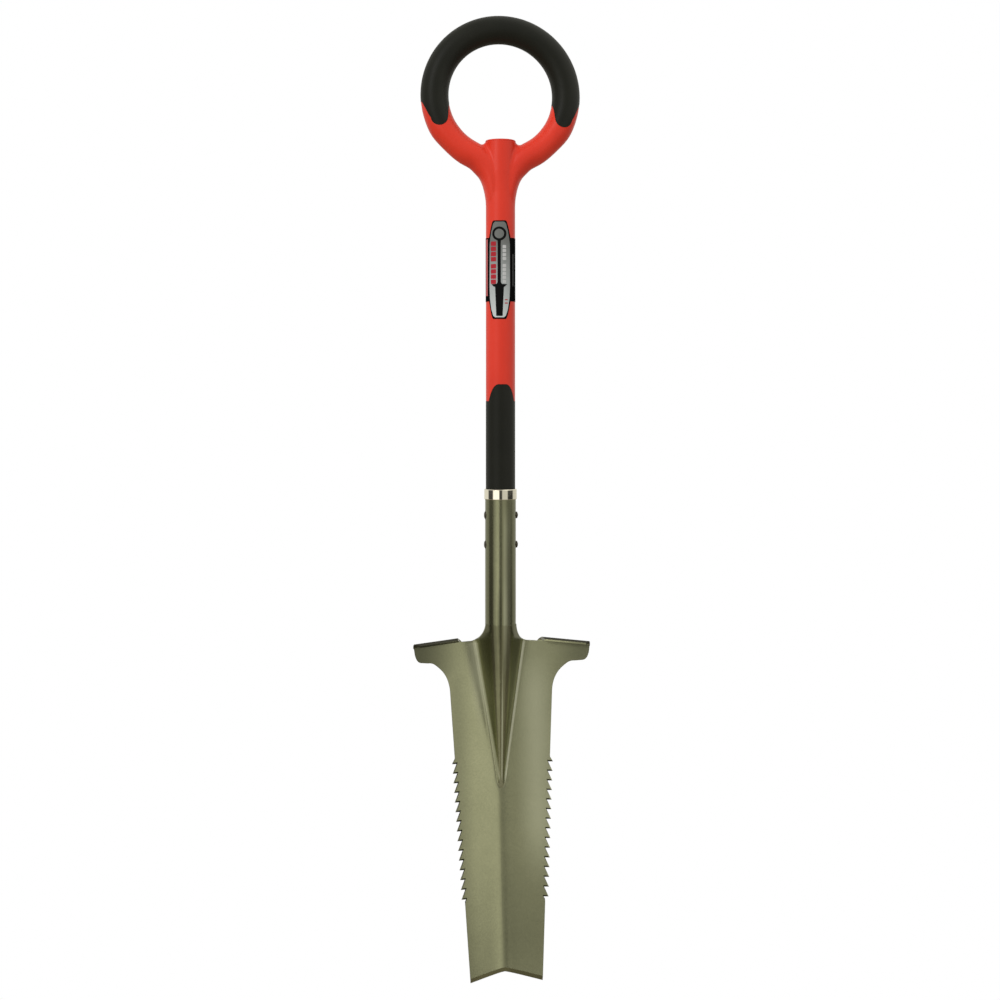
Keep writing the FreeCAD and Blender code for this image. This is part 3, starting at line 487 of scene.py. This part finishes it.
NODES_OF_LOOK = [
    (blade_coat(), ["blade"]),
    (socket_coat(), ["socket_tube"]),
    (weld_coat(), ["socket_welds"]),
    (ferrule_steel(), ["collar"]),
    (fastener_steel(), ["upper_bolt", "lower_bolt", "upper_nut", "lower_nut"]),
    (red_resin(), ["handle_frame", "top_cap"]),
    (soft_black(), ["ring_grip", "lower_grip"]),
    (flat_print("film_black", grey(0.004)), ["label"]),
    (plain_steel(), ["core_tube", "ring_hoop"]),
    (nylon(), ["shaft_plug"]),
]

for look, nodes in NODES_OF_LOOK:
    for node in nodes:
        slots = frame["nodes"][node].data.materials
        slots.clear()
        slots.append(look)

# ---------------------------------------------------------------- printed marks on the label

FILM_R = SLEEVE_R + 0.00032
PRINT_THICKNESS = 0.00012
PRINT_SINK = 0.00003
LABEL_TURN = math.radians(-11.0)
BEND_STEP = math.radians(5.0)
BENDS_EACH_SIDE = 16


def wrapped(name, outline, material, layer=0):
    """A thin patch of the given flat outline, in mm, bent round the label film."""
    mesh = bpy.data.meshes.new(name)
    sheet = bmesh.new()
    sheet.faces.new([sheet.verts.new((x * MM, 0, z * MM)) for x, z in outline])
    for step in range(-BENDS_EACH_SIDE, BENDS_EACH_SIDE + 1):
        cut = (FILM_R * math.sin(BEND_STEP * step), 0, 0)
        geometry = list(sheet.verts) + list(sheet.edges) + list(sheet.faces)
        bmesh.ops.bisect_plane(sheet, geom=geometry, plane_co=cut, plane_no=(1, 0, 0))
    grown = bmesh.ops.extrude_face_region(sheet, geom=list(sheet.faces))
    raised = {v for v in grown["geom"] if isinstance(v, bmesh.types.BMVert)}
    base = FILM_R + layer * PRINT_THICKNESS - PRINT_SINK
    for vert in sheet.verts:
        angle = math.asin(max(-1, min(1, vert.co.x / FILM_R))) + LABEL_TURN
        radius = base + (PRINT_THICKNESS + PRINT_SINK if vert in raised else 0)
        vert.co = Vector((radius * math.sin(angle), SHAFT_Y - radius * math.cos(angle), vert.co.z))
    bmesh.ops.recalc_face_normals(sheet, faces=list(sheet.faces))
    sheet.to_mesh(mesh)
    sheet.free()
    patch = bpy.data.objects.new(name, mesh)
    bpy.context.scene.collection.objects.link(patch)
    mesh.materials.append(material)
    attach(patch, "root")


def arc(centre_x, centre_z, radius, start, sweep, steps):
    """Points along an arc in the label's flat outline; angles in degrees."""
    angles = [math.radians(start + sweep * step / steps) for step in range(steps + 1)]
    return [(centre_x + radius * math.cos(a), centre_z + radius * math.sin(a)) for a in angles]


def rounded_bar(x0, x1, z0, z1, radius):
    """Outline of an upright bar with rounded corners."""
    corners = ((x1 - radius, z1 - radius, 0), (x0 + radius, z1 - radius, 90))
    corners += ((x0 + radius, z0 + radius, 180), (x1 - radius, z0 + radius, 270))
    return [point for x, z, start in corners for point in arc(x, z, radius, start, 90, 5)]


# right half of the plaque's outline, from the top down, in mm
PLAQUE_HALF = [
    (5.9, 925.7),
    (8.0, 923.4),
    (10.2, 914.5),
    (11.7, 905.0),
    (12.5, 898.0),
    (12.6, 845.0),
    (12.1, 831.0),
    (10.2, 817.0),
    (7.8, 809.2),
    (5.6, 807.2),
]
# the sign's ring: middle, radii and the half angle left open for the bar
SIGN_X, SIGN_Z = -0.3, 910.9
SIGN_OUTER, SIGN_INNER = 8.7, 5.9
SIGN_GAP = 14
# its bar and shoulders, out from its middle, and its tapering blade, out from the label's
SIGN_BAR = [(1.9, 899.4), (2.1, 850.6), (3.4, 848.5), (9.6, 848.2), (7.2, 845.6)]
SIGN_BLADE = [(5.4, 844.8), (3.9, 808.9)]
# columns of bars: ink, left and right side, (start, count) of each group, pitch, length
COLUMNS = [
    ("wine", -10.8, -4.2, ((848.6, 4), (876.6, 4)), 6.4, 5.4),
    ("white", 3.9, 8.1, ((849.6, 5), (878.0, 4)), 4.9, 4.0),
]


def sign_outline():
    """Spade sign: a ring open at the bottom, a bar, shoulders and a tapering blade."""
    ring = arc(SIGN_X, SIGN_Z, SIGN_OUTER, SIGN_GAP - 90, 360 - 2 * SIGN_GAP, 40)
    right = [(SIGN_X + x, z) for x, z in SIGN_BAR] + SIGN_BLADE
    left = [(-x, z) for x, z in SIGN_BLADE[::-1]] + [(SIGN_X - x, z) for x, z in SIGN_BAR[::-1]]
    return ring[::-1] + right + left


def build_label_marks():
    """Grey plaque with a plain spade sign and blank bars where the words would be."""
    plaque = printed("plaque_grey", (0.45, 0.48, 0.47), (0.13, 0.134, 0.126))
    black = flat_print("ink_black", grey(0.006))
    wine = printed("ink_wine", (0.36, 0.018, 0.028), (0.30, 0.016, 0.024))
    white = printed("ink_white", (0.42, 0.42, 0.41), (0.42, 0.42, 0.41))
    rose = printed("ink_rose", (0.40, 0.085, 0.09), (0.46, 0.11, 0.11))
    trim = printed("ink_trim", grey(0.10), grey(0.10))
    wrapped("label_plaque", PLAQUE_HALF + [(-x, z) for x, z in PLAQUE_HALF[::-1]], plaque)
    wrapped("label_sign", sign_outline(), black, layer=1)
    wrapped("label_disc", arc(SIGN_X, SIGN_Z, SIGN_INNER, 0, 350, 35), plaque, layer=2)
    inks = {"wine": wine, "white": white}
    for ink, left, right, groups, pitch, length in COLUMNS:
        for group, (start, count) in enumerate(groups):
            for step in range(count):
                low = start + pitch * step
                outline = rounded_bar(left, right, low, low + length, radius=0.8)
                wrapped(f"label_{ink}_{group}_{step}", outline, inks[ink], layer=1)
    wrapped("label_side_left", rounded_bar(-17.4, -15.2, 834.0, 904.6, radius=0.4), rose)
    wrapped("label_side_right", rounded_bar(15.9, 16.4, 846.0, 886.0, radius=0.2), trim)
    for index, low in enumerate((828.4, 824.2)):
        outline = rounded_bar(6.6, 10.0, low, low + 1.3, radius=0.4)
        wrapped(f"label_tick_{index}", outline, wine, layer=1)


build_label_marks()

# ---------------------------------------------------------------- stage, light and camera

CAMERA_TURN = math.radians(7.0)
CAMERA_DISTANCE = 2.0
EYE_HEIGHT = 0.7109
FOCAL_PIXELS = 1600.0
PICTURE_PIXELS = 1000.0
PICTURE_SHIFT = (-0.0005, -0.105)
SENSOR = 36.0
VIEW_LIMIT = 60

FLOOR_SIZE = 30.0
FLOOR_CENTRE = (0, 6.0, -0.004)
FLOOR_DEEP = (0.33, 0.29, 0.22)
FLOOR_PALE = (0.37, 0.33, 0.25)
LIGHT_AIM_Z = 0.6

# brightness round the spade: degrees from the camera, negative to the viewer's left
ROOM_LOW = [
    (-180, 0.80),
    (-100, 0.80),
    (-90, 0.060),
    (-58, 0.056),
    (-50, 1.35),
    (-12, 1.35),
    (-6, 0.05),
    (9, 0.05),
    (15, 0.64),
    (48, 0.64),
    (56, 0.03),
    (94, 0.03),
    (102, 0.62),
    (180, 0.80),
]
ROOM_HIGH = [
    (-180, 0.80),
    (-100, 0.62),
    (-70, 0.52),
    (-40, 0.56),
    (-10, 0.46),
    (20, 0.50),
    (40, 1.00),
    (80, 1.25),
    (110, 0.90),
    (180, 0.80),
]
ROOM_SOFT = [(-180, 0.80), (-70, 1.25), (0, 0.92), (70, 0.75), (180, 0.80)]
ROOM_TINT = (1.0, 0.985, 0.90)
FLOOR_SHINE = (0.29, 0.26, 0.20)
FLOOR_SOFT = (0.56, 0.54, 0.48)
# heights of a ray, as the Z of its direction, between which one zone gives way to the next
FLOOR_TO_LOW = (-0.36, -0.11)
LOW_TO_HIGH = (-0.058, -0.040)


def build_stage():
    """Pale floor under the blade's tip, white to the camera."""
    bpy.ops.mesh.primitive_plane_add(size=FLOOR_SIZE, location=FLOOR_CENTRE)
    floor = bpy.context.object
    floor.name = "floor"
    floor.visible_glossy = False
    floor.visible_diffuse = False
    material, add, place = new_material("floor_white")
    seen = add("ShaderNodeLightPath").outputs["Is Camera Ray"]
    tone = ramp(add, noise(add, place, 3.0), [(0.3, FLOOR_DEEP), (0.7, FLOOR_PALE)])
    glow = add("ShaderNodeEmission", {"Color": mixed(add, seen, tone, DAYLIGHT), "Strength": 1.0})
    add("ShaderNodeOutputMaterial", {"Surface": glow.outputs[0]})
    floor.data.materials.append(material)
    floor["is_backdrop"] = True


def build_world():
    """Bright and dark bands that shiny pieces mirror, soft light for the matt ones, white behind."""
    world = bpy.data.worlds.new("studio")
    bpy.context.scene.world = world
    world.use_nodes = True
    world.node_tree.nodes.clear()
    world.cycles.sampling_method = "NONE"
    add = node_adder(world.node_tree)
    axes = split(add, add("ShaderNodeTexCoord").outputs["Generated"])
    compass = maths(add, "ARCTAN2", axes["X"], axes["Y"])
    turned = maths(add, "SUBTRACT", compass, math.pi + CAMERA_TURN)
    turned = maths(add, "WRAP", turned, math.pi, -math.pi)
    share = fade(add, turned, math.pi, -math.pi, "LINEAR")

    def bands(stops):
        return ramp(add, share, [(0.5 + angle / 360, grey(value)) for angle, value in stops])

    above_floor = fade(add, axes["Z"], *FLOOR_TO_LOW, "LINEAR")
    above_low = fade(add, axes["Z"], *LOW_TO_HIGH, "LINEAR")
    shine = mixed(add, above_low, bands(ROOM_LOW), bands(ROOM_HIGH))
    shine = mixed(add, 1.0, shine, ROOM_TINT, "MULTIPLY")
    shine = mixed(add, above_floor, FLOOR_SHINE, shine)
    soft = mixed(add, above_floor, FLOOR_SOFT, bands(ROOM_SOFT))
    rays = add("ShaderNodeLightPath").outputs
    lit = mixed(add, rays["Is Glossy Ray"], soft, shine)
    seen = mixed(add, rays["Is Camera Ray"], lit, DAYLIGHT)
    room = add("ShaderNodeBackground", {"Color": seen, "Strength": 1.0})
    add("ShaderNodeOutputWorld", {"Surface": room.outputs[0]})


def soft_box(name, azimuth, distance, height, size, power, mirrored=False):
    """Upright light beside the camera's line; positive azimuth is the viewer's right."""
    light = bpy.data.lights.new(name, "AREA")
    light.shape = "RECTANGLE"
    light.size, light.size_y = size
    light.energy = power
    box = bpy.data.objects.new(name, light)
    box.visible_glossy = mirrored
    angle = CAMERA_TURN - math.radians(azimuth)
    box.location = (-distance * math.sin(angle), SHAFT_Y - distance * math.cos(angle), height)
    aim = Vector((0, SHAFT_Y, LIGHT_AIM_Z)) - box.location
    box.rotation_euler = aim.to_track_quat("-Z", "Y").to_euler()
    bpy.context.scene.collection.objects.link(box)


def build_camera():
    """Level camera left of the spade's front, with its picture shifted down."""
    data = bpy.data.cameras.new("camera")
    camera = bpy.data.objects.new("camera", data)
    data.sensor_width = SENSOR
    data.lens = SENSOR * FOCAL_PIXELS / PICTURE_PIXELS
    data.shift_x, data.shift_y = PICTURE_SHIFT
    data.clip_end = VIEW_LIMIT
    camera.location = (
        -CAMERA_DISTANCE * math.sin(CAMERA_TURN),
        SHAFT_Y - CAMERA_DISTANCE * math.cos(CAMERA_TURN),
        EYE_HEIGHT,
    )
    camera.rotation_euler = (math.radians(90), 0, -CAMERA_TURN)
    bpy.context.scene.collection.objects.link(camera)
    bpy.context.scene.camera = camera


build_stage()
build_world()
soft_box("soft_top", azimuth=-25, distance=1.6, height=2.4, size=(1.2, 1.2), power=18)
soft_box("sheen_left", azimuth=-34, distance=2.3, height=1.9, size=(0.35, 1.4), power=9, mirrored=True)
build_camera()
bpy.context.scene.view_settings.view_transform = "Standard"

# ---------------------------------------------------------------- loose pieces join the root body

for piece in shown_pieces():
    if body_of(piece) is None:
        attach(piece, "root")
